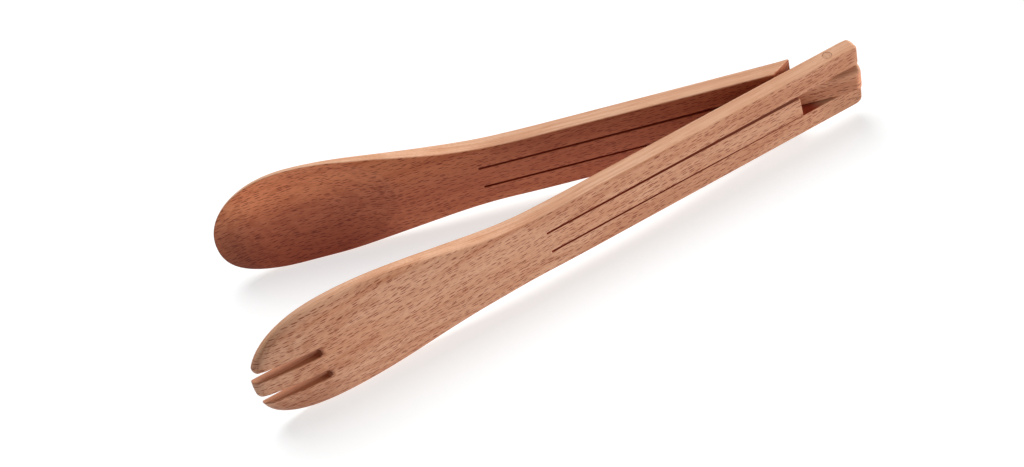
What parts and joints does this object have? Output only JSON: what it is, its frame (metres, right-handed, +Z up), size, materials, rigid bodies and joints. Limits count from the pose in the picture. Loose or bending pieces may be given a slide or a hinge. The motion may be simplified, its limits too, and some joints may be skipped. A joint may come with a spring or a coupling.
{
  "type": "spring-loaded kitchen tongs",
  "caption": "Wooden kitchen tongs with a fork arm and a spoon arm that cross on a dowel and spring open on sawn wooden lanes.",
  "frame": {"origin": "centre of the tongs' bounding box, on the surface they lie on, standing on the edges of their arms", "axes": "+X from the heads towards the hinge along the line midway between the arms; +Y from the fork arm to the spoon arm; +Z up, along the hinge dowel"},
  "size_m": [0.2958, 0.0946, 0.0586],
  "materials": {
    "fork_wood": "satin",
    "spoon_wood": "satin",
    "dowel_wood": "satin"
  },
  "bodies": {
    "fork_arm": {"fork_arm": "fork_wood", "hinge_dowel": "dowel_wood"},
    "spoon_arm": {"spoon_arm": "spoon_wood"},
    "fork_spring_tongue": {"fork_spring_tongue": "fork_wood"},
    "spoon_spring_prong_upper": {"spoon_spring_prong_upper": "spoon_wood"},
    "spoon_spring_prong_lower": {"spoon_spring_prong_lower": "spoon_wood"}
  },
  "joints": [
    {"name": "squeeze", "type": "hinge", "parent": "fork_arm", "child": "spoon_arm", "pos_m": [0.13373, 0, 0.02603], "axis": [0, 0, 1], "range_deg": [0, 16], "stiffness_Nm_per_rad": 8},
    {"name": "fork_tongue_bend", "type": "hinge", "parent": "fork_arm", "child": "fork_spring_tongue", "pos_m": [-0.00955, -0.02825, 0.02603], "axis": [0, 0, -1], "range_deg": [0, 3.1]},
    {"name": "spoon_upper_prong_bend", "type": "hinge", "parent": "spoon_arm", "child": "spoon_spring_prong_upper", "pos_m": [-0.02385, 0.03069, 0.03773], "axis": [0, 0, 1], "range_deg": [0, 2.8]},
    {"name": "spoon_lower_prong_bend", "type": "hinge", "parent": "spoon_arm", "child": "spoon_spring_prong_lower", "pos_m": [-0.02385, 0.03069, 0.01433], "axis": [0, 0, 1], "range_deg": [0, 2.8]}
  ],
  "couplings": [
    {"joint": "fork_tongue_bend", "follows": "squeeze", "ratio": 0.187},
    {"joint": "spoon_upper_prong_bend", "follows": "squeeze", "ratio": 0.167},
    {"joint": "spoon_lower_prong_bend", "follows": "squeeze", "ratio": 0.167}
  ]
}
